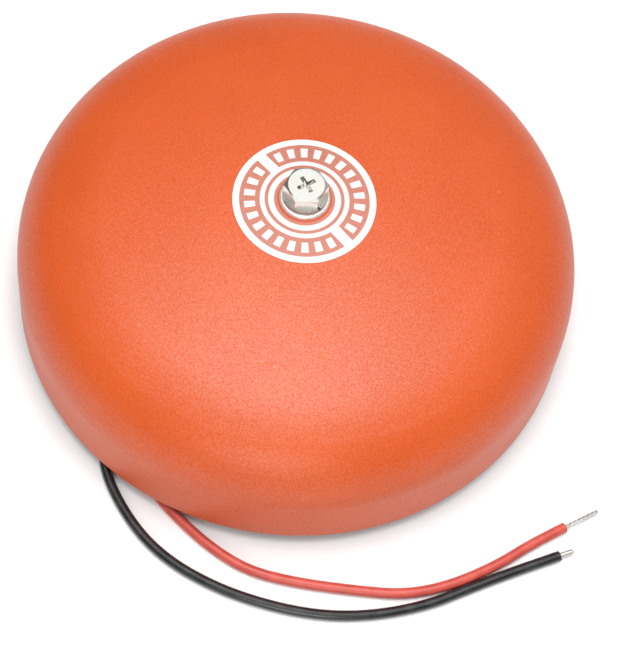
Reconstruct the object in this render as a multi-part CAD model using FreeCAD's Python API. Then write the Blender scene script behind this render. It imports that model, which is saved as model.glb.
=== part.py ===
import FreeCAD, Part
import math
import os

# Motor-driven fire alarm bell, 150 mm gong, 24 V DC.
# Millimetres. +Z points from the wall out through the gong; the origin is the centre of the
# base plate's rear face, so the wall (or the table it lies on) is the plane z = 0.

# Gong
GONG_RADIUS = 75.0
GONG_RIM_Z = 5.0
GONG_TOP_Z = 48.7
GONG_WALL = 1.5
SKIRT_DRAFT = math.radians(1.17)
SHOULDER_RADIUS = 20.0
SHOULDER_Z = 21.44
KNUCKLE_RADIUS = 40.0
KNUCKLE_SLOPE = math.radians(60)
OUTER_SEAT_RADIUS = 7.0
INNER_SEAT_RADIUS = 8.0
GONG_HOLE_RADIUS = 3.25
RIM_ROUNDING = 0.5

# Ring label stuck round the gong screw
LABEL_INNER_RADIUS = 7.0
LABEL_OUTER_RADIUS = 18.5
LABEL_THICKNESS = 0.15

# Gong screw (M6) and its washers
SCREW_RADIUS = 3.0
SCREW_LENGTH = 20.0
HEAD_FLATS = 10.0
HEAD_HEIGHT = 4.0
HEAD_TOP_RADIUS = 4.65
HEAD_CHAMFER = math.radians(30)
HEAD_TURN = -82.0
RECESS_DEPTH = 2.4
RECESS_RADIUS = 2.5
RECESS_ARM_WIDTH = 1.1
RECESS_TURN = 37.0
FLAT_WASHER_RADIUS = 6.5
FLAT_WASHER_THICKNESS = 1.6
FLAT_WASHER_ROUNDING = 0.6
SPRING_WASHER_RADIUS = 5.9
SPRING_WASHER_SPLIT = -42.0
SPRING_WASHER_THICKNESS = 1.6

# Base plate, gong post and the washer that isolates the gong from the post
PLATE_RADIUS = 55.0
PLATE_THICKNESS = 1.6
PLATE_RIM_Z = 10.0
STRIKER_WINDOW = 36.0
POST_FLATS = 12.0
POST_SPIGOT_RADIUS = 4.0
POST_THREAD_DEPTH = 16.0
ISOLATOR_THICKNESS = 1.6
BOX_HOLE_RADIUS = 2.3
BOX_PAIRS = ((0.0, 66.7), (-10.0, 83.5))

# Striker drive: motor axis, wheel axis and the levels of the parts on them
MOTOR_X = 32.0
WHEEL_X = 47.0
AXLE_RADIUS = 1.5
RUNNING_CLEARANCE = 0.05
GEAR_MODULE = 0.5
WHEEL_TEETH = 48
PINION_TEETH = 12
WHEEL_ADDENDUM = 0.35
PINION_ADDENDUM = 0.45
DEDENDUM = 0.62
TOOTH_GAP = 0.08
HUB_Z = 2.5
HAMMER_Z = 6.0
HAMMER_THICKNESS = 3.0
FLANGE_Z = 9.2
GEAR_Z = 10.2
GEAR_THICKNESS = 3.0
WHEEL_TOP_Z = 15.2
FLANGE_RADIUS = 14.4
HUB_RADIUS = 5.7
PIVOT_RADIUS = 9.5
HAMMER_REACH = 16.6
HAMMER_FOLD = 120.0
HAMMER_HEAD_RADIUS = 4.0
HAMMER_EYE_RADIUS = 3.5
HAMMER_ARM_WIDTH = 4.8
STOP_PEG_PLACE = (12.8, 3.5)
STOP_PEG_RADIUS = 1.0
CLIP_RADIUS = 2.9
CLIP_THICKNESS = 0.6
THRUST_WASHER_RADIUS = 4.0

# Motor bridge
BRIDGE_Z = 15.5
BRIDGE_THICKNESS = 1.5
BRIDGE_TOP_Z = BRIDGE_Z + BRIDGE_THICKNESS
BRIDGE_PLATE_X = (17.5, 51.5)
BRIDGE_PLATE_Y = 13.0
LEG_Y = 27.0
LEG_X = (22.0, 34.0)
FOOT_LENGTH = 9.0
BRIDGE_SCREW_RADIUS = 1.5
BRIDGE_SCREW_HEAD = (2.75, 1.9)

# Motor
CAN_RADIUS = 14.0
CAN_HEIGHT = 15.0
CAN_WALL = 1.0
CAN_FACE = 1.2
CAN_TOP_Z = BRIDGE_TOP_Z + CAN_HEIGHT
CAP_THICKNESS = 2.0
SHAFT_RADIUS = 1.0
BOSS_RADIUS = 3.0
BOSS_HEIGHT = 1.3
BUSH_RADIUS = 2.2
MOTOR_SCREW_RADIUS = 1.25
MOTOR_SCREW_OFFSET = 8.0
MOTOR_SCREW_HEAD = (2.2, 1.4)
MAGNET_GAP_WIDTH = 8.0
POLE_COUNT = 3
POLE_TURN = 60.0
CORE_RADIUS = 10.4
CORE_HUB_RADIUS = 3.4
CORE_Z = 20.5
CORE_HEIGHT = 6.5
POLE_FACE_THICKNESS = 1.6
POLE_SLOT_WIDTH = 1.8
NECK_WIDTH = 2.8
COIL_SPAN = (4.4, 8.0)
COIL_WIDTH = 5.4
COIL_OVERHANG = 1.2
COMMUTATOR_RADIUS = 2.8
BRUSH_Z = 28.9
BRUSH_SIZE = 2.0
BRUSH_END = 6.5
BRUSH_HOLDER_END = 9.5
BOARD_RADIUS = 12.0
BOARD_Z = 35.6
BOARD_THICKNESS = 1.2
BLADE_OFFSET = (-8.0, 6.0)
BLADE_THICKNESS = 0.8
BLADE_WIDTH = 3.0
BLADE_TOP_Z = 39.6
CAPACITOR_RADIUS = 2.6
CAPACITOR_THICKNESS = 2.2
DIODE_RADIUS = 1.2
DIODE_LENGTH = 4.6
DIODE_LEAD_RADIUS = 0.4
DIODE_LEAD_SPACING = 7.6

# Terminal block, grommets and leads
BLOCK_ANGLE = -126.0
BLOCK_SPAN = (27.0, 41.0)
BLOCK_WIDTH = 17.0
BLOCK_HEIGHT = 9.0
POLE_OFFSET = 4.0
CLAMP_HALF = 2.3
CLAMP_SPAN = (28.0, 40.0)
TERMINAL_SCREW_ALONG = (30.5, 37.5)
TERMINAL_SCREW_RADIUS = 1.3
TERMINAL_SCREW_HEAD = (1.7, 1.6)
TERMINAL_WELL_RADIUS = 1.8
BLOCK_SCREW_HEAD = (1.7, 1.8)
BLOCK_SCREW_DEPTH = 2.6
WIRE_Z = 5.3
RED_EXIT_ANGLE = -120.0
BLACK_EXIT_ANGLE = -132.0
GROMMET_RADIUS = 2.5
GROMMET_FLANGE_RADIUS = 3.5
GROMMET_OUT = 2.0
GROMMET_IN = 2.0
EXIT_RUN = 7.0
LEAD_DIAMETER = 2.7
RED_BARE_LENGTH = 10.8
RED_BARE_DIAMETER = 1.2
BLACK_BARE_LENGTH = 4.0
BLACK_BARE_DIAMETER = 1.4
JUMPER_DIAMETER = 1.8
FLOOR_Z = LEAD_DIAMETER / 2

SKY = FreeCAD.Vector(0, 0, 1)


def vec(x, y, z=0.0):
    return FreeCAD.Vector(x, y, z)


def polar(radius, degrees, z=0.0):
    angle = math.radians(degrees)
    return vec(radius * math.cos(angle), radius * math.sin(angle), z)


def cylinder(x, y, z_low, z_high, radius):
    return Part.makeCylinder(radius, z_high - z_low, vec(x, y, z_low))


def ring(x, y, z_low, z_high, outer, inner):
    return cylinder(x, y, z_low, z_high, outer).cut(cylinder(x, y, z_low, z_high, inner))


def box(x_span, y_span, z_span):
    size = [high - low for low, high in (x_span, y_span, z_span)]
    return Part.makeBox(*size, vec(x_span[0], y_span[0], z_span[0]))


def turned(shape, degrees, centre=vec(0, 0)):
    copy = shape.copy()
    copy.rotate(centre, SKY, degrees)
    return copy


def polygon(points):
    return Part.Face(Part.makePolygon(points + points[:1]))


def prism(face, height):
    return face.extrude(vec(0, 0, height))


def hexagon(flats, z, turn=0.0):
    return polygon([polar(flats / math.sqrt(3), turn + 30 + 60 * side, z) for side in range(6)])


def spun(edges):
    """Solid of revolution about Z from a closed outline in the XZ plane."""
    return Part.Face(Part.Wire(edges)).revolve(vec(0, 0), SKY, 360)


def line(start, end):
    return Part.LineSegment(start, end).toShape()


def arc(centre, radius, start, end):
    """Arc in the XZ plane between two points on the circle, by the shorter way."""
    middle = (start + end) * 0.5 - centre
    middle.normalize()
    return Part.Arc(start, centre + middle * radius, end).toShape()


def save(name, shape):
    shape.exportStep(os.path.join("parts", name + ".step"))
    print("%-24s %d solid(s) %9.1f mm3 valid %s"
          % (name, len(shape.Solids), shape.Volume, shape.isValid()))


# ---- gong -------------------------------------------------------------------------------

def shoulder_centre():
    tangent_z = SHOULDER_Z + SHOULDER_RADIUS * math.sin(SKIRT_DRAFT)
    tangent_x = GONG_RADIUS - (tangent_z - GONG_RIM_Z) * math.tan(SKIRT_DRAFT)
    return vec(tangent_x - SHOULDER_RADIUS * math.cos(SKIRT_DRAFT), 0, SHOULDER_Z)


def knuckle_start():
    """Direction, square to the gong's surface, in which the shoulder gives way to the knuckle."""
    return vec(math.cos(KNUCKLE_SLOPE), 0, math.sin(KNUCKLE_SLOPE))


def knuckle_centre():
    """Centre of the gentler arc that leads from the shoulder to the crown."""
    return shoulder_centre() - knuckle_start() * (KNUCKLE_RADIUS - SHOULDER_RADIUS)


def crown_radius():
    """Radius of the sphere that reaches the gong's top and is tangent to the knuckle."""
    centre = knuckle_centre()
    drop = centre.z - GONG_TOP_Z
    top = KNUCKLE_RADIUS ** 2 - centre.x ** 2 - drop ** 2
    return top / (2 * drop + 2 * KNUCKLE_RADIUS)


def crown_centre():
    return vec(0, 0, GONG_TOP_Z - crown_radius())


def on_crown(x, depth):
    """Point at distance x from the axis, on the crown surface offset inwards by depth."""
    radius = crown_radius() - depth
    return vec(x, 0, crown_centre().z + math.sqrt(radius ** 2 - x ** 2))


def gong_corners(depth):
    """The offset outline's rim and its three tangent points: skirt, shoulder, knuckle, crown."""
    shoulder = shoulder_centre()
    slope = vec(math.cos(SKIRT_DRAFT), 0, math.sin(SKIRT_DRAFT))
    skirt_end = shoulder + slope * (SHOULDER_RADIUS - depth)
    rim_x = skirt_end.x + (skirt_end.z - GONG_RIM_Z) * math.tan(SKIRT_DRAFT)
    shoulder_end = shoulder + knuckle_start() * (SHOULDER_RADIUS - depth)
    outwards = knuckle_centre() - crown_centre()
    outwards.normalize()
    crown_start = knuckle_centre() + outwards * (KNUCKLE_RADIUS - depth)
    return vec(rim_x, 0, GONG_RIM_Z), skirt_end, shoulder_end, crown_start


def gong_side(depth, seat_radius, seat_z):
    """Edges of one surface of the gong from its centre hole to its rim."""
    rim, skirt_end, shoulder_end, crown_start = gong_corners(depth)
    seat_edge = on_crown(seat_radius, depth)
    return [
        line(vec(GONG_HOLE_RADIUS, 0, seat_z), seat_edge),
        arc(crown_centre(), crown_radius() - depth, seat_edge, crown_start),
        arc(knuckle_centre(), KNUCKLE_RADIUS - depth, crown_start, shoulder_end),
        arc(shoulder_centre(), SHOULDER_RADIUS - depth, shoulder_end, skirt_end),
        line(skirt_end, rim),
    ]


def outer_seat_z():
    return on_crown(OUTER_SEAT_RADIUS, 0).z


def inner_seat_z():
    return on_crown(INNER_SEAT_RADIUS, GONG_WALL).z


def make_gong():
    outside = gong_side(0, OUTER_SEAT_RADIUS, outer_seat_z())
    inside = gong_side(GONG_WALL, INNER_SEAT_RADIUS, inner_seat_z())
    rim = line(gong_corners(0)[0], gong_corners(GONG_WALL)[0])
    hole = line(vec(GONG_HOLE_RADIUS, 0, outer_seat_z()), vec(GONG_HOLE_RADIUS, 0, inner_seat_z()))
    shell = spun(outside + [rim] + inside[::-1] + [hole])
    rim_edges = [edge for edge in shell.Edges
                 if edge.BoundBox.ZMax < GONG_RIM_Z + 0.01 and edge.Closed]
    return shell.makeFillet(RIM_ROUNDING, rim_edges)


def make_label():
    low = [on_crown(x, 0) for x in (LABEL_INNER_RADIUS, LABEL_OUTER_RADIUS)]
    high = [on_crown(x, -LABEL_THICKNESS) for x in (LABEL_INNER_RADIUS, LABEL_OUTER_RADIUS)]
    return spun([
        arc(crown_centre(), crown_radius(), low[0], low[1]),
        line(low[1], high[1]),
        arc(crown_centre(), crown_radius() + LABEL_THICKNESS, high[1], high[0]),
        line(high[0], low[0]),
    ])


def make_flat_washer():
    """Stamped washer, its upper outer edge drawn round by the punch."""
    z = outer_seat_z()
    top = z + FLAT_WASHER_THICKNESS
    washer = ring(0, 0, z, top, FLAT_WASHER_RADIUS, SCREW_RADIUS + 0.2)
    upper = [edge for edge in washer.Edges if edge.BoundBox.ZMin > top - 0.01]
    outer = [edge for edge in upper if edge.BoundBox.XMax > FLAT_WASHER_RADIUS - 0.1]
    return washer.makeFillet(FLAT_WASHER_ROUNDING, outer)


def spring_washer_z():
    return outer_seat_z() + FLAT_WASHER_THICKNESS


def make_spring_washer():
    z = spring_washer_z()
    top = z + SPRING_WASHER_THICKNESS
    washer = ring(0, 0, z, top, SPRING_WASHER_RADIUS, SCREW_RADIUS + 0.1)
    split = box((0, 8), (-0.3, 0.3), (z - 1, top + 1))
    split.rotate(vec(5, 0, (z + top) / 2), vec(1, 0, 0), 25)
    return washer.cut(turned(split, SPRING_WASHER_SPLIT))


def head_z():
    return spring_washer_z() + SPRING_WASHER_THICKNESS


def make_phillips_recess(top):
    arm = box((-4, 4), (-RECESS_ARM_WIDTH / 2, RECESS_ARM_WIDTH / 2), (top - RECESS_DEPTH, top + 0.1))
    cross = arm.fuse(turned(arm, 90))
    funnel = Part.makeCone(0.8, RECESS_RADIUS + 0.1, RECESS_DEPTH + 0.1, vec(0, 0, top - RECESS_DEPTH))
    return turned(cross.common(funnel), RECESS_TURN)


def make_gong_screw():
    z = head_z()
    top = z + HEAD_HEIGHT
    head = prism(hexagon(HEAD_FLATS, z, HEAD_TURN), HEAD_HEIGHT)
    spread = HEAD_FLATS / math.sqrt(3)
    chamfer_height = (spread - HEAD_TOP_RADIUS) * math.tan(HEAD_CHAMFER)
    drum = cylinder(0, 0, z, top - chamfer_height, spread)
    bevel = Part.makeCone(spread, HEAD_TOP_RADIUS, chamfer_height, vec(0, 0, top - chamfer_height))
    head = head.common(drum.fuse(bevel)).cut(make_phillips_recess(top))
    return head.fuse(cylinder(0, 0, z - SCREW_LENGTH, z, SCREW_RADIUS)).removeSplitter()


# ---- base plate and post ----------------------------------------------------------------

def isolator_z():
    return inner_seat_z() - ISOLATOR_THICKNESS


def make_isolator():
    return ring(0, 0, isolator_z(), inner_seat_z(), INNER_SEAT_RADIUS - 0.5, SCREW_RADIUS + 0.2)


def make_post():
    z = isolator_z()
    body = prism(hexagon(POST_FLATS, PLATE_THICKNESS), z - PLATE_THICKNESS)
    body = body.fuse(cylinder(0, 0, 0, PLATE_THICKNESS, POST_SPIGOT_RADIUS)).removeSplitter()
    return body.cut(cylinder(0, 0, z - POST_THREAD_DEPTH, z, SCREW_RADIUS))


def bridge_screw_places():
    middle = (LEG_X[0] + LEG_X[1]) / 2
    y = LEG_Y + BRIDGE_THICKNESS + FOOT_LENGTH / 2 + 0.5
    return [(middle + step, side * y) for side in (-1, 1) for step in (-3, 3)]


def box_hole_places():
    return [(x, side * spacing / 2) for x, spacing in BOX_PAIRS for side in (-1, 1)]


def block_centre():
    return polar(sum(BLOCK_SPAN) / 2, BLOCK_ANGLE)


def make_base_plate():
    wall = PLATE_THICKNESS
    dish = cylinder(0, 0, 0, PLATE_RIM_Z, PLATE_RADIUS)
    dish = dish.cut(cylinder(0, 0, wall, PLATE_RIM_Z, PLATE_RADIUS - wall))
    low_edges = [edge for edge in dish.Edges if edge.Closed and edge.BoundBox.ZMax < 0.01]
    dish = dish.makeFillet(1.0, low_edges)
    reach = 2 * PLATE_RADIUS
    corners = [vec(0, 0, wall), polar(reach, -STRIKER_WINDOW, wall), polar(reach, STRIKER_WINDOW, wall)]
    dish = dish.cut(prism(polygon(corners), PLATE_RIM_Z))
    holes = [(0, 0, POST_SPIGOT_RADIUS), (WHEEL_X, 0, AXLE_RADIUS)]
    holes += [(x, y, BRIDGE_SCREW_RADIUS) for x, y in bridge_screw_places()]
    holes += [(x, y, BOX_HOLE_RADIUS) for x, y in box_hole_places()]
    holes += [(block_centre().x, block_centre().y, BRIDGE_SCREW_RADIUS)]
    for x, y, radius in holes:
        dish = dish.cut(cylinder(x, y, 0, wall, radius))
    for angle in (RED_EXIT_ANGLE, BLACK_EXIT_ANGLE):
        dish = dish.cut(radial_rod(angle, PLATE_RADIUS - 5, PLATE_RADIUS + 5, GROMMET_RADIUS))
    return dish


# ---- striker drive ----------------------------------------------------------------------

def gear_face(teeth, addendum, z, first_tooth):
    """Straight-flanked gear outline, one tooth centred on the angle first_tooth."""
    pitch_radius = GEAR_MODULE * teeth / 2
    half_tooth = GEAR_MODULE * math.pi / 4 - TOOTH_GAP
    flank = math.tan(math.radians(20))
    outline = []
    for tooth in range(teeth):
        centre = first_tooth + 360 * tooth / teeth
        for offset, side in ((-DEDENDUM, -1), (addendum, -1), (addendum, 1), (-DEDENDUM, 1)):
            width = half_tooth - min(offset, 0.75 * addendum) * flank
            swing = math.degrees(width / pitch_radius)
            outline.append(polar(pitch_radius + offset, centre + side * swing, z))
    return polygon(outline)


def hammer_pivot(side):
    return vec(WHEEL_X + side * PIVOT_RADIUS, 0)


def make_wheel():
    """Nylon wheel: hub, flange that carries the hammers, gear rim and two stop pegs."""
    z_gear_top = GEAR_Z + GEAR_THICKNESS
    teeth = prism(gear_face(WHEEL_TEETH, WHEEL_ADDENDUM, GEAR_Z, 0), GEAR_THICKNESS)
    teeth.translate(vec(WHEEL_X, 0))
    wheel = teeth.fuse([
        cylinder(WHEEL_X, 0, HUB_Z, FLANGE_Z, HUB_RADIUS),
        cylinder(WHEEL_X, 0, FLANGE_Z, GEAR_Z, FLANGE_RADIUS),
        cylinder(WHEEL_X, 0, z_gear_top, WHEEL_TOP_Z, HUB_RADIUS - 1.7),
    ])
    for side in (-1, 1):
        peg_x, peg_y = (side * offset for offset in STOP_PEG_PLACE)
        wheel = wheel.fuse(cylinder(WHEEL_X + peg_x, -peg_y, HAMMER_Z + 0.5, FLANGE_Z, STOP_PEG_RADIUS))
        pivot = hammer_pivot(side)
        wheel = wheel.cut(cylinder(pivot.x, pivot.y, FLANGE_Z, z_gear_top, AXLE_RADIUS))
    bore = cylinder(WHEEL_X, 0, HUB_Z, WHEEL_TOP_Z, AXLE_RADIUS + RUNNING_CLEARANCE)
    return wheel.removeSplitter().cut(bore)


def make_hammer(side):
    """Hammer folded back against the hub; it swings out until its arm meets the stop peg."""
    pivot = hammer_pivot(side)
    top = HAMMER_Z + HAMMER_THICKNESS
    head_x = HAMMER_REACH - HAMMER_HEAD_RADIUS
    half = HAMMER_ARM_WIDTH / 2
    hammer = cylinder(0, 0, HAMMER_Z, top, HAMMER_EYE_RADIUS)
    hammer = hammer.fuse([
        box((0, head_x), (-half, half), (HAMMER_Z, top)),
        cylinder(head_x, 0, HAMMER_Z, top, HAMMER_HEAD_RADIUS),
    ]).removeSplitter()
    hammer = hammer.cut(cylinder(0, 0, HAMMER_Z, top, AXLE_RADIUS + RUNNING_CLEARANCE))
    hammer = turned(hammer, HAMMER_FOLD + (0 if side > 0 else 180))
    hammer.translate(pivot)
    return hammer


def make_hammer_pins():
    top = GEAR_Z + GEAR_THICKNESS
    pins = []
    for side in (-1, 1):
        pivot = hammer_pivot(side)
        pins.append(cylinder(pivot.x, pivot.y, HAMMER_Z - 1.2, top, AXLE_RADIUS))
    return Part.makeCompound(pins)


def make_pin_clips():
    top = HAMMER_Z - 0.1
    clips = []
    for side in (-1, 1):
        pivot = hammer_pivot(side)
        clip = ring(pivot.x, pivot.y, top - CLIP_THICKNESS, top, CLIP_RADIUS, AXLE_RADIUS)
        mouth = box((0, CLIP_RADIUS + 1), (-0.8, 0.8), (top - CLIP_THICKNESS, top))
        mouth.translate(pivot)
        clips.append(clip.cut(mouth))
    return Part.makeCompound(clips)


def make_thrust_washer():
    return ring(WHEEL_X, 0, PLATE_THICKNESS, HUB_Z - 0.1, THRUST_WASHER_RADIUS, AXLE_RADIUS)


def make_axle_pin():
    return cylinder(WHEEL_X, 0, 0, BRIDGE_TOP_Z, AXLE_RADIUS)


def motor_screw_places():
    return [(MOTOR_X, side * MOTOR_SCREW_OFFSET) for side in (-1, 1)]


def make_bridge():
    """Bent steel bridge: a top plate over the wheel, two legs and two feet."""
    span = LEG_Y + BRIDGE_THICKNESS
    top = box(LEG_X, (-span, span), (BRIDGE_Z, BRIDGE_TOP_Z))
    sides = (-BRIDGE_PLATE_Y, BRIDGE_PLATE_Y)
    top = top.fuse(box(BRIDGE_PLATE_X, sides, (BRIDGE_Z, BRIDGE_TOP_Z))).removeSplitter()
    upright = [edge for edge in top.Edges if abs(edge.Length - BRIDGE_THICKNESS) < 0.01]
    corners = [edge for edge in upright if abs(abs(edge.CenterOfMass.y) - BRIDGE_PLATE_Y) < 0.01]
    bridge = top.makeFillet(2.0, corners)
    foot_top = PLATE_THICKNESS + BRIDGE_THICKNESS
    for side in (-1, 1):
        leg = box(LEG_X, sorted((side * LEG_Y, side * span)), (PLATE_THICKNESS, BRIDGE_Z))
        foot = box(LEG_X, sorted((side * span, side * (span + FOOT_LENGTH))), (PLATE_THICKNESS, foot_top))
        bridge = bridge.fuse([leg, foot])
    bridge = bridge.removeSplitter()
    bridge = bridge.cut(cylinder(WHEEL_X, 0, BRIDGE_Z, BRIDGE_TOP_Z, AXLE_RADIUS))
    bridge = bridge.cut(cylinder(MOTOR_X, 0, BRIDGE_Z, BRIDGE_TOP_Z, BOSS_RADIUS))
    for x, y in motor_screw_places():
        bridge = bridge.cut(cylinder(x, y, BRIDGE_Z, BRIDGE_TOP_Z, MOTOR_SCREW_RADIUS))
    for x, y in bridge_screw_places():
        bridge = bridge.cut(cylinder(x, y, PLATE_THICKNESS, foot_top, BRIDGE_SCREW_RADIUS))
    return bridge


def slotted_screw(x, y, tip_z, head_base_z, shank, head_size, up=1):
    """Screw with a slotted head; up is +1 for a head above its shank and -1 for below."""
    head, head_height = head_size
    low, high = sorted((tip_z, head_base_z))
    far = head_base_z + up * head_height
    head_low, head_high = sorted((head_base_z, far))
    screw = cylinder(x, y, low, high, shank).fuse(cylinder(x, y, head_low, head_high, head))
    slot_low, slot_high = sorted((far, far - up * head_height * 0.5))
    slot = box((x - head, x + head), (y - 0.3, y + 0.3), (slot_low, slot_high))
    return screw.cut(slot)


def make_bridge_screws():
    base = PLATE_THICKNESS + BRIDGE_THICKNESS
    screws = [slotted_screw(x, y, 0, base, BRIDGE_SCREW_RADIUS, BRIDGE_SCREW_HEAD)
              for x, y in bridge_screw_places()]
    return Part.makeCompound(screws)


def make_motor_screws():
    screws = [slotted_screw(x, y, BRIDGE_TOP_Z + 1.0, BRIDGE_Z, MOTOR_SCREW_RADIUS, MOTOR_SCREW_HEAD, up=-1)
              for x, y in motor_screw_places()]
    return Part.makeCompound(screws)


# ---- motor ------------------------------------------------------------------------------

def make_motor_can():
    z = BRIDGE_TOP_Z
    can = cylinder(MOTOR_X, 0, z, CAN_TOP_Z, CAN_RADIUS)
    can = can.cut(cylinder(MOTOR_X, 0, z + CAN_FACE, CAN_TOP_Z, CAN_RADIUS - CAN_WALL))
    low, high = bush_spans()[0]
    can = can.fuse(cylinder(MOTOR_X, 0, low, z, BOSS_RADIUS))
    can = can.fuse(cylinder(MOTOR_X, 0, z + CAN_FACE, high, BOSS_RADIUS)).removeSplitter()
    can = can.cut(cylinder(MOTOR_X, 0, low, high, BUSH_RADIUS))
    for x, y in motor_screw_places():
        can = can.cut(cylinder(x, y, z, z + CAN_FACE, MOTOR_SCREW_RADIUS))
    return can


def blade(side):
    x = MOTOR_X + BLADE_OFFSET[0]
    y = side * BLADE_OFFSET[1]
    half_width = BLADE_WIDTH / 2
    half_thickness = BLADE_THICKNESS / 2
    return box((x - half_thickness, x + half_thickness), (y - half_width, y + half_width),
               (CAN_TOP_Z - 1, BLADE_TOP_Z))


def make_motor_terminals():
    return Part.makeCompound([blade(-1), blade(1)])


def bush_spans():
    front = (BRIDGE_Z, BRIDGE_TOP_Z + CAN_FACE + BOSS_HEIGHT)
    rear = (CAN_TOP_Z, CAN_TOP_Z + CAP_THICKNESS + 0.4)
    return front, rear


def make_motor_bushes():
    bore = SHAFT_RADIUS + RUNNING_CLEARANCE
    return Part.makeCompound([ring(MOTOR_X, 0, low, high, BUSH_RADIUS, bore) for low, high in bush_spans()])


def make_motor_cap():
    """Moulded end cap with the rear bearing boss and the two brush holders."""
    cap = cylinder(MOTOR_X, 0, CAN_TOP_Z, CAN_TOP_Z + CAP_THICKNESS, CAN_RADIUS)
    cap = cap.fuse(cylinder(MOTOR_X, 0, CAN_TOP_Z, BOARD_Z, BOSS_RADIUS + 0.5))
    for side in (-1, 1):
        y_span = sorted((side * BRUSH_END, side * BRUSH_HOLDER_END))
        x_span = (MOTOR_X - BRUSH_SIZE, MOTOR_X + BRUSH_SIZE)
        cap = cap.fuse(box(x_span, y_span, (BRUSH_Z - 0.4, CAN_TOP_Z)))
    cap = cap.removeSplitter()
    rear = bush_spans()[1]
    cap = cap.cut(cylinder(MOTOR_X, 0, rear[0], rear[1], BUSH_RADIUS))
    return cap.cut(make_motor_terminals())


def make_motor_brushes():
    x_span = (MOTOR_X - BRUSH_SIZE / 2, MOTOR_X + BRUSH_SIZE / 2)
    brushes = []
    for side in (-1, 1):
        y_span = sorted((side * (COMMUTATOR_RADIUS + RUNNING_CLEARANCE), side * BRUSH_END))
        brushes.append(box(x_span, y_span, (BRUSH_Z, BRUSH_Z + BRUSH_SIZE)))
    return Part.makeCompound(brushes)


def make_motor_magnets():
    low = BRIDGE_TOP_Z + CAN_FACE + 0.6
    tube = ring(MOTOR_X, 0, low, CAN_TOP_Z - 2, CAN_RADIUS - CAN_WALL, CORE_RADIUS + 0.5)
    x_span = (MOTOR_X - CAN_RADIUS, MOTOR_X + CAN_RADIUS)
    gap = box(x_span, (-MAGNET_GAP_WIDTH / 2, MAGNET_GAP_WIDTH / 2), (low, CAN_TOP_Z))
    return Part.makeCompound(tube.cut(gap).Solids)


def make_motor_shaft():
    return cylinder(MOTOR_X, 0, GEAR_Z + 0.3, CAN_TOP_Z + CAP_THICKNESS, SHAFT_RADIUS)


def on_pole(pole, start, end, width, z_span, between=False):
    """Box lying along one pole of the rotor, or along the gap that follows the pole."""
    half_pitch = 180 / POLE_COUNT
    turn = POLE_TURN + 2 * half_pitch * pole + (half_pitch if between else 0)
    shape = box((MOTOR_X + start, MOTOR_X + end), (-width / 2, width / 2), z_span)
    return turned(shape, turn, vec(MOTOR_X, 0))


def make_rotor_core():
    """Three-pole lamination stack: a hub, three necks and three curved pole faces."""
    z_span = (CORE_Z, CORE_Z + CORE_HEIGHT)
    inside = CORE_RADIUS - POLE_FACE_THICKNESS
    core = cylinder(MOTOR_X, 0, *z_span, CORE_HUB_RADIUS)
    rim = ring(MOTOR_X, 0, *z_span, CORE_RADIUS, inside)
    for pole in range(POLE_COUNT):
        core = core.fuse(on_pole(pole, CORE_HUB_RADIUS - 1, inside + 0.5, NECK_WIDTH, z_span))
        rim = rim.cut(on_pole(pole, inside - 1, CORE_RADIUS + 1, POLE_SLOT_WIDTH, z_span, between=True))
    core = core.fuse(rim).removeSplitter()
    return core.cut(cylinder(MOTOR_X, 0, *z_span, SHAFT_RADIUS))


def make_rotor_windings():
    """One copper coil round each neck, wrapping over both ends of the stack."""
    core_span = (CORE_Z, CORE_Z + CORE_HEIGHT)
    coil_span = (core_span[0] - COIL_OVERHANG, core_span[1] + COIL_OVERHANG)
    coils = []
    for pole in range(POLE_COUNT):
        coil = on_pole(pole, *COIL_SPAN, COIL_WIDTH, coil_span)
        coils.append(coil.cut(on_pole(pole, *COIL_SPAN, NECK_WIDTH, core_span)))
    return Part.makeCompound(coils)


def make_commutator():
    low = CORE_Z + CORE_HEIGHT + 1.0
    return ring(MOTOR_X, 0, low, CAN_TOP_Z - 0.3, COMMUTATOR_RADIUS, SHAFT_RADIUS)


def make_pinion():
    z = GEAR_Z + 0.3
    half_pitch = 180 / PINION_TEETH
    pinion = prism(gear_face(PINION_TEETH, PINION_ADDENDUM, z, half_pitch), GEAR_THICKNESS)
    pinion.translate(vec(MOTOR_X, 0))
    return pinion.cut(cylinder(MOTOR_X, 0, z, z + GEAR_THICKNESS, SHAFT_RADIUS))


# ---- suppressor board -------------------------------------------------------------------

def make_board():
    board = cylinder(MOTOR_X, 0, BOARD_Z, BOARD_Z + BOARD_THICKNESS, BOARD_RADIUS)
    return board.cut(make_motor_terminals())


def make_capacitor():
    """Dipped ceramic disc standing on its edge, with the coating run down its two wires."""
    top = BOARD_Z + BOARD_THICKNESS
    middle = vec(MOTOR_X - 1, -CAPACITOR_THICKNESS / 2, top + CAPACITOR_RADIUS)
    disc = Part.makeCylinder(CAPACITOR_RADIUS, CAPACITOR_THICKNESS, middle, vec(0, 1, 0))
    skirt = box((middle.x - 1.5, middle.x + 1.5), (-0.5, 0.5), (top, top + 2))
    return disc.fuse(skirt).removeSplitter()


def make_diode():
    """Axial diode: a body lying on the board, with a lead bent down at each end."""
    top = BOARD_Z + BOARD_THICKNESS
    x = MOTOR_X + 5
    z = top + DIODE_RADIUS
    diode = Part.makeCylinder(DIODE_RADIUS, DIODE_LENGTH, vec(x, -DIODE_LENGTH / 2, z), vec(0, 1, 0))
    span = DIODE_LEAD_SPACING + 2 * DIODE_LEAD_RADIUS
    diode = diode.fuse(Part.makeCylinder(DIODE_LEAD_RADIUS, span, vec(x, -span / 2, z), vec(0, 1, 0)))
    for side in (-1, 1):
        diode = diode.fuse(cylinder(x, side * DIODE_LEAD_SPACING / 2, top, z, DIODE_LEAD_RADIUS))
    return diode.removeSplitter()


# ---- wiring -----------------------------------------------------------------------------

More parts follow.
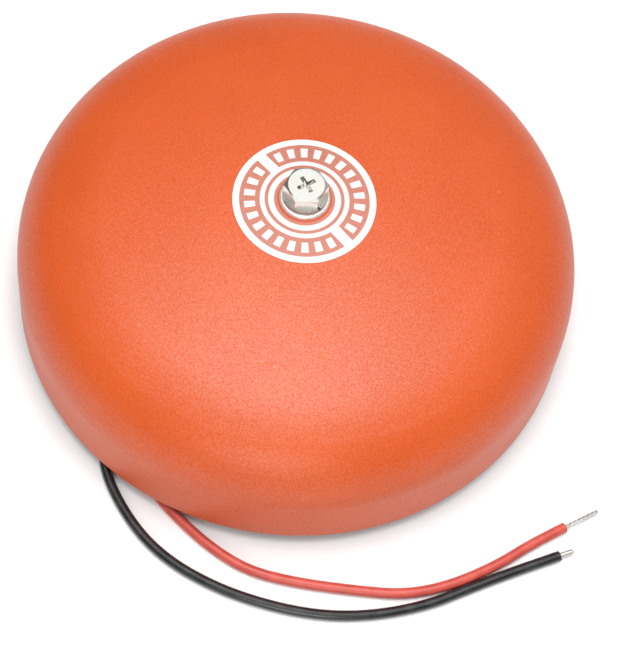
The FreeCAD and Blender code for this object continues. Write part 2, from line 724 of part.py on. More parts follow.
def radial_rod(angle, start, end, radius):
    """Horizontal rod at wire height along the radius at this angle."""
    direction = polar(1, angle)
    return Part.makeCylinder(radius, end - start, polar(start, angle, WIRE_Z), direction)


def block_point(along, across, z=WIRE_Z):
    """Point in the terminal block's frame: along its radius, across towards the red pole."""
    point = polar(along, BLOCK_ANGLE, z)
    return point + polar(across, BLOCK_ANGLE + 90)


def block_box(along, across, z_span):
    shape = box(along, across, z_span)
    shape.rotate(vec(0, 0), SKY, BLOCK_ANGLE)
    return shape


def terminal_screw_places():
    return [block_point(along, side * POLE_OFFSET) for side in (-1, 1) for along in TERMINAL_SCREW_ALONG]


def clamp_box(side, span):
    """Square channel along one pole of the terminal block."""
    across = (side * POLE_OFFSET - CLAMP_HALF, side * POLE_OFFSET + CLAMP_HALF)
    return block_box(span, across, (WIRE_Z - CLAMP_HALF, WIRE_Z + CLAMP_HALF))


def make_block():
    top = PLATE_THICKNESS + BLOCK_HEIGHT
    half = BLOCK_WIDTH / 2
    block = block_box(BLOCK_SPAN, (-half, half), (PLATE_THICKNESS, top))
    vertical = [edge for edge in block.Edges if abs(edge.Length - BLOCK_HEIGHT) < 0.01]
    block = block.makeFillet(1.0, vertical)
    for side in (-1, 1):
        block = block.cut(clamp_box(side, BLOCK_SPAN))
    for place in terminal_screw_places():
        block = block.cut(cylinder(place.x, place.y, WIRE_Z, top, TERMINAL_WELL_RADIUS))
    centre = block_centre()
    block = block.cut(cylinder(centre.x, centre.y, PLATE_THICKNESS, top, BRIDGE_SCREW_RADIUS))
    return block.cut(cylinder(centre.x, centre.y, top - BLOCK_SCREW_DEPTH, top, BLOCK_SCREW_HEAD[0]))


def make_block_clamps():
    """Brass body of each pole, bored for the wires, with a threaded hole for each screw."""
    length = CLAMP_SPAN[1] - CLAMP_SPAN[0]
    clamps = []
    for side in (-1, 1):
        clamp = clamp_box(side, CLAMP_SPAN)
        start = block_point(CLAMP_SPAN[0], side * POLE_OFFSET)
        clamp = clamp.cut(Part.makeCylinder(LEAD_DIAMETER / 2, length, start, polar(1, BLOCK_ANGLE)))
        for place in terminal_screw_places():
            clamp = clamp.cut(cylinder(place.x, place.y, WIRE_Z, WIRE_Z + CLAMP_HALF, TERMINAL_SCREW_RADIUS))
        clamps.append(clamp)
    return Part.makeCompound(clamps)


def make_terminal_screws():
    base = WIRE_Z + LEAD_DIAMETER / 2
    screws = [slotted_screw(place.x, place.y, base, base + 1.4, TERMINAL_SCREW_RADIUS, TERMINAL_SCREW_HEAD)
              for place in terminal_screw_places()]
    return Part.makeCompound(screws)


def make_block_screw():
    top = PLATE_THICKNESS + BLOCK_HEIGHT
    centre = block_centre()
    base = top - BLOCK_SCREW_DEPTH
    return slotted_screw(centre.x, centre.y, 0, base, BRIDGE_SCREW_RADIUS, BLOCK_SCREW_HEAD)


def make_grommets():
    grommets = []
    for angle in (RED_EXIT_ANGLE, BLACK_EXIT_ANGLE):
        inner = PLATE_RADIUS - PLATE_THICKNESS
        body = radial_rod(angle, inner - GROMMET_IN, PLATE_RADIUS + GROMMET_OUT, GROMMET_FLANGE_RADIUS)
        body = body.cut(cylinder(0, 0, 0, PLATE_RIM_Z + 1, PLATE_RADIUS).cut(
            cylinder(0, 0, 0, PLATE_RIM_Z + 1, inner)))
        neck = radial_rod(angle, inner - 1, PLATE_RADIUS + 1, GROMMET_RADIUS)
        bore = radial_rod(angle, 40, 70, LEAD_DIAMETER / 2)
        grommets.append(body.fuse(neck).removeSplitter().cut(bore))
    return Part.makeCompound(grommets)


def lead_start(angle):
    """The grommet's outer face and the end of the lead's short straight run out of it."""
    face = PLATE_RADIUS + GROMMET_OUT
    return [polar(face, angle, WIRE_Z), polar(face + EXIT_RUN, angle, WIRE_Z)]


def tail_route(angle, across):
    """From the grommet's outer face inwards to a pole of the terminal block."""
    return [
        lead_start(angle)[0], polar(48, angle, WIRE_Z),
        block_point(42.6, across), block_point(36, across),
    ]


# The leads run out through the grommets, drop to the floor and curve away side by side.
RED_ROUTE = lead_start(RED_EXIT_ANGLE) + [
    vec(-31.0, -62.6, 3.2), vec(-26.2, -67.9, FLOOR_Z),
    vec(-19.5, -73.3, FLOOR_Z), vec(-10.5, -79.5, FLOOR_Z), vec(0.0, -84.2, FLOOR_Z),
    vec(13.0, -85.4, FLOOR_Z), vec(28.5, -85.1, FLOOR_Z), vec(40.5, -84.2, FLOOR_Z),
    vec(51.6, -80.1, FLOOR_Z), vec(63.5, -72.5, FLOOR_Z), vec(72.3, -64.8, FLOOR_Z),
    vec(80.3, -59.1, FLOOR_Z),
]
BLACK_ROUTE = lead_start(BLACK_EXIT_ANGLE) + [
    vec(-43.2, -57.6, 2.6), vec(-40.0, -65.3, FLOOR_Z),
    vec(-33.5, -74.2, FLOOR_Z), vec(-25.8, -81.5, FLOOR_Z), vec(-15.5, -87.2, FLOOR_Z),
    vec(-1.5, -91.5, FLOOR_Z), vec(16.0, -93.4, FLOOR_Z), vec(31.0, -91.7, FLOOR_Z),
    vec(46.0, -86.5, FLOOR_Z), vec(57.1, -79.8, FLOOR_Z), vec(68.1, -73.4, FLOOR_Z),
    vec(79.5, -67.3, FLOOR_Z),
]
# Inside, a solid-core jumper goes on from each pole of the terminal block to the motor.
BLADE_FACE_X = MOTOR_X + BLADE_OFFSET[0] - BLADE_THICKNESS / 2
JUMPER_END_Z = BLADE_TOP_Z - 1.3
RED_JUMPER_ROUTE = [
    block_point(32, POLE_OFFSET), block_point(23, POLE_OFFSET), vec(-4.0, -18.0, 13.0),
    vec(5.0, -15.0, 26.0), vec(12.0, -10.0, 36.0), vec(BLADE_FACE_X - 5, -6.0, JUMPER_END_Z),
    vec(BLADE_FACE_X, -6.0, JUMPER_END_Z),
]
BLACK_JUMPER_ROUTE = [
    block_point(32, -POLE_OFFSET), block_point(22, -POLE_OFFSET), vec(-14.0, -2.0, 14.0),
    vec(-8.0, 9.0, 26.0), vec(4.0, 12.0, 36.0), vec(BLADE_FACE_X - 8, 6.0, JUMPER_END_Z),
    vec(BLADE_FACE_X, 6.0, JUMPER_END_Z),
]


def route_edges(points):
    """Straight runs joined by tangent arcs, each arc set by the shorter run beside it."""
    edges = []
    radii = []
    last = points[0]
    for before, corner, after in zip(points, points[1:], points[2:]):
        back = before - corner
        ahead = after - corner
        half_turn = (math.pi - back.getAngle(ahead)) / 2
        cut = 0.45 * min(back.Length, ahead.Length)
        radius = cut / math.tan(half_turn)
        back.normalize()
        ahead.normalize()
        start = corner + back * cut
        end = corner + ahead * cut
        inwards = back + ahead
        inwards.normalize()
        middle = corner + inwards * (radius / math.cos(half_turn) - radius)
        edges.append(line(last, start))
        edges.append(Part.Arc(start, middle, end).toShape())
        radii.append(radius)
        last = end
    edges.append(line(last, points[-1]))
    return edges, radii


def make_wire(name, points, diameter):
    edges, radii = route_edges(points)
    path = Part.Wire(edges)
    section = Part.Wire(Part.makeCircle(diameter / 2, points[0], points[1] - points[0]))
    tube = path.makePipeShell([section], True, False)
    expected = math.pi * diameter ** 2 / 4 * path.Length
    print("%s: length %.1f mm, radii %s, volume ratio %.4f"
          % (name, path.Length, ["%.1f" % radius for radius in radii], tube.Volume / expected))
    return tube


def make_wire_end(route, length, diameter):
    """Bare conductor carrying straight on from the end of a lead, with a rounded tip."""
    direction = route[-1] - route[-2]
    direction.normalize()
    core = Part.makeCylinder(diameter / 2, length, route[-1], direction)
    tip = [edge for edge in core.Edges
           if edge.Closed and edge.CenterOfMass.distanceToPoint(route[-1]) > length / 2]
    return core.makeFillet(diameter * 0.35, tip)


def main():
    os.makedirs("parts", exist_ok=True)
    save("gong", make_gong())
    save("gong_label", make_label())
    save("gong_flat_washer", make_flat_washer())
    save("gong_spring_washer", make_spring_washer())
    save("gong_screw", make_gong_screw())
    save("gong_isolating_washer", make_isolator())
    save("gong_post", make_post())
    save("base_plate", make_base_plate())
    save("hammer_wheel", make_wheel())
    save("hammer_a", make_hammer(1))
    save("hammer_b", make_hammer(-1))
    save("hammer_pins", make_hammer_pins())
    save("hammer_pin_clips", make_pin_clips())
    save("wheel_thrust_washer", make_thrust_washer())
    save("wheel_axle_pin", make_axle_pin())
    save("motor_bridge", make_bridge())
    save("bridge_screws", make_bridge_screws())
    save("motor_can", make_motor_can())
    save("motor_end_cap", make_motor_cap())
    save("motor_bushes", make_motor_bushes())
    save("motor_magnets", make_motor_magnets())
    save("motor_brushes", make_motor_brushes())
    save("motor_terminals", make_motor_terminals())
    save("motor_screws", make_motor_screws())
    save("motor_shaft", make_motor_shaft())
    save("motor_pinion", make_pinion())
    save("rotor_core", make_rotor_core())
    save("rotor_windings", make_rotor_windings())
    save("commutator", make_commutator())
    save("suppressor_board", make_board())
    save("suppressor_capacitor", make_capacitor())
    save("polarity_diode", make_diode())
    save("terminal_block", make_block())
    save("terminal_clamps", make_block_clamps())
    save("terminal_screws", make_terminal_screws())
    save("terminal_block_screw", make_block_screw())
    save("lead_grommets", make_grommets())
    save("red_tail", make_wire("red_tail", tail_route(RED_EXIT_ANGLE, POLE_OFFSET), LEAD_DIAMETER))
    save("black_tail", make_wire("black_tail", tail_route(BLACK_EXIT_ANGLE, -POLE_OFFSET), LEAD_DIAMETER))
    save("red_jumper", make_wire("red_jumper", RED_JUMPER_ROUTE, JUMPER_DIAMETER))
    save("black_jumper", make_wire("black_jumper", BLACK_JUMPER_ROUTE, JUMPER_DIAMETER))
    save("red_lead", make_wire("red_lead", RED_ROUTE, LEAD_DIAMETER))
    save("black_lead", make_wire("black_lead", BLACK_ROUTE, LEAD_DIAMETER))
    save("red_lead_strands", make_wire_end(RED_ROUTE, RED_BARE_LENGTH, RED_BARE_DIAMETER))
    save("black_lead_tip", make_wire_end(BLACK_ROUTE, BLACK_BARE_LENGTH, BLACK_BARE_DIAMETER))


main()
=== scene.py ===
import math
import random

import bpy
from mathutils import Matrix, Vector


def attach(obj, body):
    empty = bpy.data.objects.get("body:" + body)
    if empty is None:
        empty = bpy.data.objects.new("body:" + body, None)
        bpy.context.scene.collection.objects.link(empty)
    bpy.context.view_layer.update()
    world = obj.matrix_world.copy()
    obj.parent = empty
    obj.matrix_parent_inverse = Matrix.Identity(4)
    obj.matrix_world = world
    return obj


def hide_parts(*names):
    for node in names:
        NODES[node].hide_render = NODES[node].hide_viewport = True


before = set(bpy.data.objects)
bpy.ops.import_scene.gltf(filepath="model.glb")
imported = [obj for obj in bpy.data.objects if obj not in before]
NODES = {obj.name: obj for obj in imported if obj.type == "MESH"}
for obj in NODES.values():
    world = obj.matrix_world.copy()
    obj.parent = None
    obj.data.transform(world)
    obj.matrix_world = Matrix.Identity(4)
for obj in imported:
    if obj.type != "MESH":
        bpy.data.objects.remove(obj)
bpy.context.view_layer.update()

ROOT = "bell"

# Camera: a long lens looking down at the bell lying on its back, turned a little clockwise.
CAMERA_ELEVATION = math.radians(61.92)
CAMERA_ROLL = math.radians(8.49)
CAMERA_DISTANCE = 0.5005
CAMERA_TARGET = Vector((0.00586, -0.02163, 0.020))
CAMERA_LENS = 103.9

# Studio: a dim white room, paler behind and to the right, one wide soft box straight above
# with a brighter middle, and a weak fill from the front. Each lamp is a round area light that
# points at LAMP_AIM: its place, its width in metres and its power in watts.
ROOM_LIGHT = (0.20, 0.54)
ROOM_BRIGHT_SIDE = Vector((0.74, 0.67, 0.0))
LAMP_AIM = Vector((0.0, -0.02, 0.03))
LAMPS = {
    "soft_box": (Vector((0.0, -0.04, 0.75)), 1.15, 3.2),
    "soft_box_middle": (Vector((0.0, -0.04, 0.75)), 0.50, 4.5),
    "front_fill": (Vector((0.0, -0.75, 0.40)), 0.40, 2.1),
}
FLOOR_HALF_WIDTH = 3.0

# Leads: the same exits, diameters and route points as the CAD tubes, in metres.
LEAD_DIAMETER = 0.0027
LEAD_Z = LEAD_DIAMETER / 2
EXIT_Z = 0.0053
GROMMET_FACE = 0.057
EXIT_RUN = 0.0070
RED_EXIT_ANGLE = math.radians(-120)
BLACK_EXIT_ANGLE = math.radians(-132)
STRAND_COUNT = 3
STRAND_DIAMETER = 0.00058
STRAND_LAY = 0.0042
STRAND_STEPS = 26
BUNDLE_DIAMETER = 0.0012
BUNDLE_END_TIGHTNESS = 0.72
BARE_LENGTH = 0.0105

# Label print: each ring's inner and outer radius from the screw's axis, the divider bars and
# the marks between them
PRINT_OUTER_RING = (0.0168, 0.0186)
PRINT_MARKS = (0.0128, 0.0156)
PRINT_MIDDLE_RING = (0.0103, 0.0115)
PRINT_INNER_RING = (0.0079, 0.00935)
PRINT_BAR_WIDTH = 0.0027
PRINT_BAR_ANGLE = math.radians(139.5)
PRINT_BAR_CLEARANCE = 0.0008
PRINT_MARK_COUNT = 26
PRINT_MARK_SHARE = 0.51
PRINT_MARK_EDGE = 0.015
PRINT_EDGE = 0.0001


def polar(radius, angle, z):
    return Vector((radius * math.cos(angle), radius * math.sin(angle), z))


# ---- camera, floor and light -------------------------------------------------------------

def make_camera():
    back = Vector((0, -math.cos(CAMERA_ELEVATION), math.sin(CAMERA_ELEVATION)))
    level = Vector((1, 0, 0))
    upright = back.cross(level)
    right = level * math.cos(CAMERA_ROLL) + upright * math.sin(CAMERA_ROLL)
    up = upright * math.cos(CAMERA_ROLL) - level * math.sin(CAMERA_ROLL)
    turn = Matrix((right, up, back)).transposed().to_4x4()
    data = bpy.data.cameras.new("camera")
    data.lens = CAMERA_LENS
    data.clip_start = 0.01
    camera = bpy.data.objects.new("camera", data)
    camera.matrix_world = Matrix.Translation(CAMERA_TARGET + back * CAMERA_DISTANCE) @ turn
    bpy.context.scene.collection.objects.link(camera)
    bpy.context.scene.camera = camera


def add_lamp(name, place, width, power):
    data = bpy.data.lights.new(name, "AREA")
    data.shape = "DISK"
    data.size = width
    data.energy = power
    lamp = bpy.data.objects.new(name, data)
    lamp.location = place
    lamp.rotation_euler = (place - LAMP_AIM).to_track_quat("Z", "Y").to_euler()
    bpy.context.scene.collection.objects.link(lamp)


def make_room():
    """White surroundings whose strength rises towards the bright side."""
    world = bpy.data.worlds.new("studio")
    world.use_nodes = True
    tree = world.node_tree
    direction = tree.nodes.new("ShaderNodeTexCoord").outputs["Generated"]
    towards = tree.nodes.new("ShaderNodeVectorMath")
    towards.operation = "DOT_PRODUCT"
    tree.links.new(direction, towards.inputs[0])
    towards.inputs[1].default_value = ROOM_BRIGHT_SIDE
    rise = tree.nodes.new("ShaderNodeMapRange")
    tree.links.new(towards.outputs["Value"], rise.inputs["Value"])
    rise.inputs["To Min"].default_value = ROOM_LIGHT[0]
    rise.inputs["To Max"].default_value = ROOM_LIGHT[1]
    tree.links.new(rise.outputs["Result"], tree.nodes["Background"].inputs["Strength"])
    tree.nodes["Background"].inputs["Color"].default_value = (1, 1, 1, 1)
    bpy.context.scene.world = world


def light_scene():
    make_room()
    for name, (place, width, power) in LAMPS.items():
        add_lamp(name, place, width, power)


def make_floor():
    mesh = bpy.data.meshes.new("floor")
    half = FLOOR_HALF_WIDTH
    corners = [(-half, -half, 0), (half, -half, 0), (half, half, 0), (-half, half, 0)]
    mesh.from_pydata(corners, [], [(0, 1, 2, 3)])
    floor = bpy.data.objects.new("floor", mesh)
    bpy.context.scene.collection.objects.link(floor)
    surface = Surface("floor")
    tooth = surface.noise(90.0, 4.0)
    tone = surface.mix(surface.remap(tooth, 0.3, 0.7), (0.90, 0.90, 0.90), (0.88, 0.88, 0.88))
    surface.set(base_color=tone, roughness=0.9, specular=0.1)
    mesh.materials.append(surface.material)


# ---- materials ---------------------------------------------------------------------------

class Surface:
    """A Principled material with short calls for the nodes that feed it."""

    def __init__(self, name):
        self.material = bpy.data.materials.new(name)
        self.material.use_nodes = True
        self.tree = self.material.node_tree
        self.shader = self.tree.nodes["Principled BSDF"]
        self.place = self.node("ShaderNodeTexCoord").outputs["Object"]

    def node(self, kind, **settings):
        made = self.tree.nodes.new(kind)
        for key, value in settings.items():
            setattr(made, key, value)
        return made

    def feed(self, socket, value):
        """Link another node's output to the socket, or set it to a number or a colour."""
        if isinstance(value, bpy.types.NodeSocket):
            self.tree.links.new(value, socket)
        elif isinstance(value, (tuple, list)) and len(value) == 3 and len(socket.default_value) == 4:
            socket.default_value = (*value, 1)
        else:
            socket.default_value = value

    def set(self, **values):
        names = {
            "base_color": "Base Color", "metallic": "Metallic", "roughness": "Roughness",
            "specular": "Specular IOR Level", "normal": "Normal", "coat": "Coat Weight",
            "coat_roughness": "Coat Roughness",
        }
        for key, value in values.items():
            self.feed(self.shader.inputs[names[key]], value)

    def noise(self, scale, detail=2.0, roughness=0.5, stretch=None):
        source = self.place
        if stretch:
            mapping = self.node("ShaderNodeMapping")
            self.feed(mapping.inputs["Vector"], source)
            mapping.inputs["Scale"].default_value = stretch
            source = mapping.outputs["Vector"]
        noise = self.node("ShaderNodeTexNoise")
        self.feed(noise.inputs["Vector"], source)
        noise.inputs["Scale"].default_value = scale
        noise.inputs["Detail"].default_value = detail
        noise.inputs["Roughness"].default_value = roughness
        return noise.outputs["Fac"]

    def spots(self, scale):
        cells = self.node("ShaderNodeTexVoronoi")
        self.feed(cells.inputs["Vector"], self.place)
        cells.inputs["Scale"].default_value = scale
        return cells.outputs["Distance"]

    def remap(self, value, low, high, to_low=0.0, to_high=1.0):
        ramp = self.node("ShaderNodeMapRange")
        self.feed(ramp.inputs["Value"], value)
        for key, number in (("From Min", low), ("From Max", high), ("To Min", to_low), ("To Max", to_high)):
            ramp.inputs[key].default_value = number
        return ramp.outputs["Result"]

    def math(self, operation, first, second=0.0):
        made = self.node("ShaderNodeMath", operation=operation)
        self.feed(made.inputs[0], first)
        self.feed(made.inputs[1], second)
        return made.outputs["Value"]

    def mix(self, factor, first, second):
        """Blend of two colours; the node's sockets share names, so its colour ones go by place."""
        made = self.node("ShaderNodeMix", data_type="RGBA")
        self.feed(made.inputs[0], factor)
        self.feed(made.inputs[6], first)
        self.feed(made.inputs[7], second)
        return made.outputs[2]

    def bump(self, height, strength, distance, normal=None):
        made = self.node("ShaderNodeBump")
        self.feed(made.inputs["Height"], height)
        made.inputs["Strength"].default_value = strength
        made.inputs["Distance"].default_value = distance
        if normal:
            self.feed(made.inputs["Normal"], normal)
        return made.outputs["Normal"]


def red_paint():
    """Textured powder coat: every fine pimple is a little paler and glossier than the dips."""
    surface = Surface("red_powder_coat")
    cloud = surface.noise(38.0, 3.0)
    grain = surface.noise(2100.0, 3.0, 0.7)
    tone = surface.mix(surface.remap(cloud, 0.35, 0.65), (0.550, 0.073, 0.006), (0.580, 0.081, 0.008))
    dip = surface.remap(grain, 0.65, 0.35)
    tone = surface.mix(surface.math("MULTIPLY", dip, 0.06), tone, (0.50, 0.052, 0.003))
    dust = surface.remap(surface.spots(95.0), 0.045, 0.02)
    tone = surface.mix(surface.math("MULTIPLY", dust, 0.35), tone, (0.72, 0.22, 0.12))
    gloss = surface.remap(grain, 0.35, 0.65, 0.20, 0.96)
    peel = surface.bump(surface.noise(620.0, 2.0), 0.08, 0.0002)
    peel = surface.bump(grain, 0.22, 0.0001, peel)
    surface.set(base_color=tone, roughness=0.44, specular=gloss, normal=peel)
    return surface.material


def ring_mask(surface, radius, span):
    inner = surface.remap(radius, span[0] - PRINT_EDGE, span[0] + PRINT_EDGE)
    outer = surface.remap(radius, span[1] + PRINT_EDGE, span[1] - PRINT_EDGE)
    return surface.math("MULTIPLY", inner, outer)


def bar_mask(surface, from_middle_line, half_width):
    return surface.remap(from_middle_line, half_width + PRINT_EDGE, half_width - PRINT_EDGE)


def mark_mask(surface, angle):
    """Evenly spaced marks, counted round from the divider bars."""
    marks_per_radian = PRINT_MARK_COUNT / (2 * math.pi)
    turned = surface.math("SUBTRACT", angle, PRINT_BAR_ANGLE)
    count = surface.math("MULTIPLY", turned, marks_per_radian)
    within = surface.math("FRACT", surface.math("ADD", count, PRINT_MARK_COUNT))
    from_gap = surface.math("ABSOLUTE", surface.math("SUBTRACT", within, 0.5))
    gap = (1 - PRINT_MARK_SHARE) / 2
    return surface.remap(from_gap, gap - PRINT_MARK_EDGE, gap + PRINT_MARK_EDGE)


def printed_white(surface):
    """Where the label is white: three rings, two divider bars and the marks between them."""
    parts = surface.node("ShaderNodeSeparateXYZ")
    surface.feed(parts.inputs[0], surface.place)
    x, y = parts.outputs["X"], parts.outputs["Y"]
    squares = surface.math("ADD", surface.math("MULTIPLY", x, x), surface.math("MULTIPLY", y, y))
    radius = surface.math("SQRT", squares)
    across = surface.math("SUBTRACT", surface.math("MULTIPLY", y, math.cos(PRINT_BAR_ANGLE)),
                          surface.math("MULTIPLY", x, math.sin(PRINT_BAR_ANGLE)))
    from_middle_line = surface.math("ABSOLUTE", across)
    white = ring_mask(surface, radius, PRINT_OUTER_RING)
    for span in (PRINT_MIDDLE_RING, PRINT_INNER_RING):
        white = surface.math("MAXIMUM", white, ring_mask(surface, radius, span))
    lettering_band = ring_mask(surface, radius, (PRINT_MIDDLE_RING[1], PRINT_OUTER_RING[0]))
    bars = surface.math("MULTIPLY", lettering_band, bar_mask(surface, from_middle_line, PRINT_BAR_WIDTH / 2))
    white = surface.math("MAXIMUM", white, bars)
    near_bar = bar_mask(surface, from_middle_line, PRINT_BAR_WIDTH / 2 + PRINT_BAR_CLEARANCE)
    marks = mark_mask(surface, surface.math("ARCTAN2", y, x))
    marks = surface.math("MULTIPLY", marks, ring_mask(surface, radius, PRINT_MARKS))
    marks = surface.math("MULTIPLY", marks, surface.math("SUBTRACT", 1.0, near_bar))
    return surface.math("MAXIMUM", white, marks)


def label_print():
    """Thin film with a red ground and white print."""
    surface = Surface("label_print")
    white = printed_white(surface)
    grain = surface.noise(700.0)
    ground = surface.mix(surface.remap(grain, 0.3, 0.7), (0.46, 0.155, 0.105), (0.50, 0.18, 0.125))
    tone = surface.mix(white, ground, (0.77, 0.75, 0.73))
    film = surface.bump(surface.noise(500.0), 0.2, 0.0001)
    surface.set(base_color=tone, roughness=0.38, specular=0.5, normal=film)
    return surface.material


def plated(name, colour, roughness, stain=0.25, lines=0.12):
    """Bright plated steel with fine tool lines and slight clouding."""
    surface = Surface(name)
    cloud = surface.remap(surface.noise(260.0, 4.0), 0.3, 0.7)
    dark = tuple(channel * (1 - stain) for channel in colour)
    tone = surface.mix(cloud, colour, dark)
    streaks = surface.noise(1500.0, 2.0, 0.6, stretch=(1.0, 1.0, 0.15))
    rough = surface.remap(streaks, 0.2, 0.8, roughness * 0.75, roughness * 1.3)
    surface.set(base_color=tone, metallic=1.0, roughness=rough,
                normal=surface.bump(streaks, lines, 0.00005))
    return surface.material


def zinc_sheet():
    """Passivated sheet steel: faint rolling lines and patchy sheen."""
    surface = Surface("zinc_sheet")
    patch = surface.remap(surface.noise(60.0, 4.0), 0.35, 0.65)
    tone = surface.mix(patch, (0.62, 0.64, 0.66), (0.70, 0.70, 0.66))
    lines = surface.noise(700.0, 3.0, 0.6, stretch=(0.06, 1.0, 1.0))
    rough = surface.remap(lines, 0.25, 0.75, 0.32, 0.48)
    surface.set(base_color=tone, metallic=1.0, roughness=rough,
                normal=surface.bump(lines, 0.15, 0.0001))
    return surface.material


def moulded(name, colour, roughness=0.45, grain=800.0):
    """Moulded plastic or rubber with a fine spark-eroded grain."""
    surface = Surface(name)
    cloud = surface.remap(surface.noise(120.0, 3.0), 0.3, 0.7)
    tone = surface.mix(cloud, colour, tuple(channel * 0.86 for channel in colour))
    surface.set(base_color=tone, roughness=roughness,
                normal=surface.bump(surface.noise(grain, 3.0), 0.25, 0.0001))
    return surface.material


def insulation(name, colour, roughness, coat):
    """Soft extruded insulation: faint lengthwise unevenness and handling marks."""
    surface = Surface(name)
    scuff = surface.remap(surface.noise(300.0, 4.0, 0.6), 0.4, 0.75)
    paler = tuple(min(1.0, channel * 1.25 + 0.015) for channel in colour)
    rough = surface.remap(scuff, 0.0, 1.0, roughness, roughness * 1.4)
    surface.set(base_color=surface.mix(scuff, colour, paler), roughness=rough, coat=coat,
                coat_roughness=0.25, normal=surface.bump(surface.noise(900.0), 0.2, 0.0001))
    return surface.material


def circuit_board():
    """Green solder mask over glass cloth, with the weave just showing."""
    surface = Surface("circuit_board")
    weave = surface.noise(1100.0, 2.0, stretch=(1.0, 0.3, 1.0))
    tone = surface.mix(surface.remap(weave, 0.3, 0.7), (0.02, 0.13, 0.05), (0.03, 0.18, 0.07))
    surface.set(base_color=tone, roughness=0.32, normal=surface.bump(weave, 0.15, 0.0001))
    return surface.material


def sintered(name, colour):
    """Ferrite, carbon or lacquered laminations: dark and slightly gritty."""
    surface = Surface(name)
    grit = surface.noise(1600.0, 4.0, 0.7)
    tone = surface.mix(grit, colour, tuple(channel * 1.8 + 0.01 for channel in colour))
    surface.set(base_color=tone, roughness=0.6, normal=surface.bump(grit, 0.4, 0.0001))
    return surface.material


def paint(material, *names):
    for name in names:
        NODES[name].data.materials.clear()
        NODES[name].data.materials.append(material)


def paint_frame():
    paint(red_paint(), "gong")
    paint(label_print(), "gong_label")
    paint(plated("screw_nickel", (0.77, 0.765, 0.715), 0.15, 0.06, 0.04), "gong_screw")
    paint(plated("washer_nickel", (0.93, 0.92, 0.89), 0.50, 0.06, 0.03), "gong_flat_washer")
    paint(plated("spring_steel", (0.50, 0.49, 0.45), 0.28, 0.30, 0.08), "gong_spring_washer")
    paint(plated("fastener_nickel", (0.72, 0.72, 0.70), 0.30),
          "bridge_screws", "motor_screws", "terminal_screws", "terminal_block_screw")
    paint(plated("can_nickel", (0.70, 0.71, 0.72), 0.24), "motor_can")
    paint(plated("ground_steel", (0.50, 0.51, 0.53), 0.34, 0.4),
          "hammer_a", "hammer_b", "hammer_pins", "hammer_pin_clips", "wheel_axle_pin", "motor_shaft")
    paint(zinc_sheet(), "base_plate", "motor_bridge", "gong_post")
    paint(plated("turned_brass", (0.78, 0.58, 0.26), 0.28), "motor_terminals", "terminal_clamps",
          "motor_pinion", "motor_bushes", "wheel_thrust_washer")
    paint(plated("enamelled_copper", (0.66, 0.28, 0.12), 0.30), "rotor_windings", "commutator")
    paint(moulded("natural_nylon", (0.80, 0.78, 0.70)), "hammer_wheel", "terminal_block")
    paint(moulded("black_moulding", (0.025, 0.025, 0.027)), "motor_end_cap", "polarity_diode")
    paint(moulded("black_rubber", (0.02, 0.02, 0.02), 0.7), "lead_grommets", "gong_isolating_washer")
    paint(moulded("dipped_ceramic", (0.62, 0.27, 0.06), 0.3), "suppressor_capacitor")
    paint(sintered("ferrite", (0.06, 0.06, 0.065)), "motor_magnets", "rotor_core")
    paint(sintered("brush_carbon", (0.03, 0.03, 0.03)), "motor_brushes")
    paint(circuit_board(), "suppressor_board")


# ---- leads -------------------------------------------------------------------------------

def lead_exit(angle):
    return [polar(GROMMET_FACE, angle, EXIT_Z), polar(GROMMET_FACE + EXIT_RUN, angle, EXIT_Z)]


def red_route():
    return lead_exit(RED_EXIT_ANGLE) + [Vector(point) for point in (
        (-0.0310, -0.0626, 0.0032), (-0.0262, -0.0679, LEAD_Z), (-0.0195, -0.0733, LEAD_Z),
        (-0.0105, -0.0795, LEAD_Z), (0.0000, -0.0842, LEAD_Z), (0.0130, -0.0854, LEAD_Z),
        (0.0285, -0.0851, LEAD_Z), (0.0405, -0.0842, LEAD_Z), (0.0516, -0.0801, LEAD_Z),
        (0.0635, -0.0725, LEAD_Z), (0.0723, -0.0648, LEAD_Z), (0.0803, -0.0591, LEAD_Z),
    )]


def black_route():
    return lead_exit(BLACK_EXIT_ANGLE) + [Vector(point) for point in (
        (-0.0432, -0.0576, 0.0026), (-0.0400, -0.0653, LEAD_Z), (-0.0335, -0.0742, LEAD_Z),
        (-0.0258, -0.0815, LEAD_Z), (-0.0155, -0.0872, LEAD_Z), (-0.0015, -0.0915, LEAD_Z),
        (0.0160, -0.0934, LEAD_Z), (0.0310, -0.0917, LEAD_Z), (0.0460, -0.0865, LEAD_Z),
        (0.0571, -0.0798, LEAD_Z), (0.0681, -0.0734, LEAD_Z), (0.0795, -0.0673, LEAD_Z),
    )]


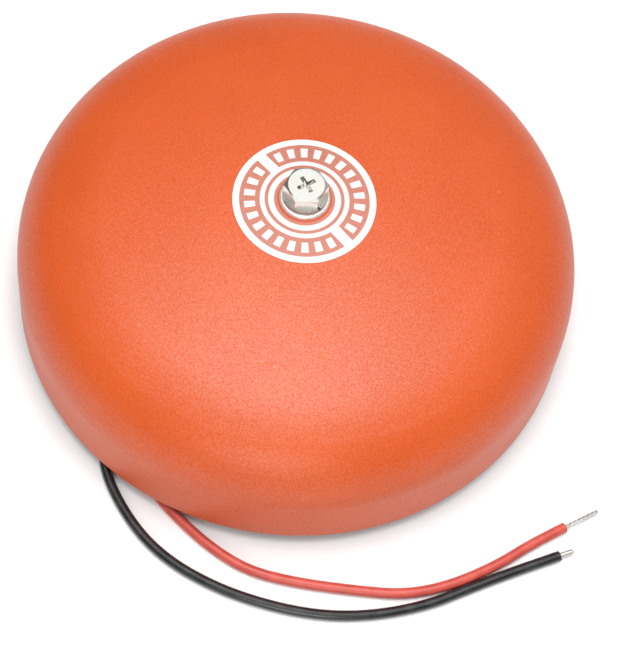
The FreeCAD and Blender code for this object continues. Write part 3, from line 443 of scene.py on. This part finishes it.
def make_curve(name, points, diameter):
    data = bpy.data.curves.new(name, "CURVE")
    data.dimensions = "3D"
    data.bevel_depth = diameter / 2
    data.bevel_resolution = 6
    data.resolution_u = 12
    data.use_fill_caps = True
    spline = data.splines.new("NURBS")
    spline.points.add(len(points) - 1)
    for slot, point in zip(spline.points, points):
        slot.co = (*point, 1)
    spline.order_u = 3
    spline.use_endpoint_u = True
    curve = bpy.data.objects.new(name, data)
    bpy.context.scene.collection.objects.link(curve)
    return curve


def strand_points(start, direction, number):
    """One strand of the bare end: a slow helix, loosest halfway along."""
    side = direction.cross(Vector((0, 0, 1))).normalized()
    up = side.cross(direction)
    widest = (BUNDLE_DIAMETER - STRAND_DIAMETER) / 2
    points = []
    for step in range(STRAND_STEPS + 1):
        share = step / STRAND_STEPS
        along = BARE_LENGTH * share
        angle = 2 * math.pi * (number / STRAND_COUNT + along / STRAND_LAY)
        looseness = BUNDLE_END_TIGHTNESS + (1 - BUNDLE_END_TIGHTNESS) * math.sin(math.pi * share)
        swing = side * math.cos(angle) + up * math.sin(angle)
        points.append(start + direction * along + swing * widest * looseness)
    return points


def make_strands(route):
    """Twisted tinned strands standing out of the red lead."""
    direction = (route[-1] - route[-2]).normalized()
    shorten = random.Random(7)
    strands = []
    for number in range(STRAND_COUNT):
        points = strand_points(route[-1], direction, number)
        keep = len(points) - shorten.randint(0, 2)
        strands.append(make_curve("red_strand_%d" % number, points[:keep], STRAND_DIAMETER))
    return strands


def make_leads():
    red = make_curve("red_wire", red_route(), LEAD_DIAMETER)
    red.data.materials.append(insulation("red_insulation", (0.50, 0.065, 0.045), 0.38, 0.10))
    black = make_curve("black_wire", black_route(), LEAD_DIAMETER)
    black.data.materials.append(insulation("black_insulation", (0.009, 0.010, 0.012), 0.24, 0.20))
    tinned = plated("tinned_strand", (0.80, 0.80, 0.78), 0.22, 0.3)
    strands = make_strands(red_route())
    for strand in strands:
        strand.data.materials.append(tinned)
        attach(strand, ROOT)
    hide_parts("red_lead_strands")
    paint(plated("tinned_tip", (0.66, 0.65, 0.61), 0.48, 0.15), "black_lead_tip")
    paint(red.data.materials[0], "red_tail", "red_jumper")
    paint(black.data.materials[0], "black_tail", "black_jumper")
    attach(red, ROOT)
    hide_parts("red_lead")
    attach(black, ROOT)
    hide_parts("black_lead")


bpy.context.scene.view_settings.view_transform = "Standard"
make_camera()
make_leads()
make_floor()
light_scene()
paint_frame()
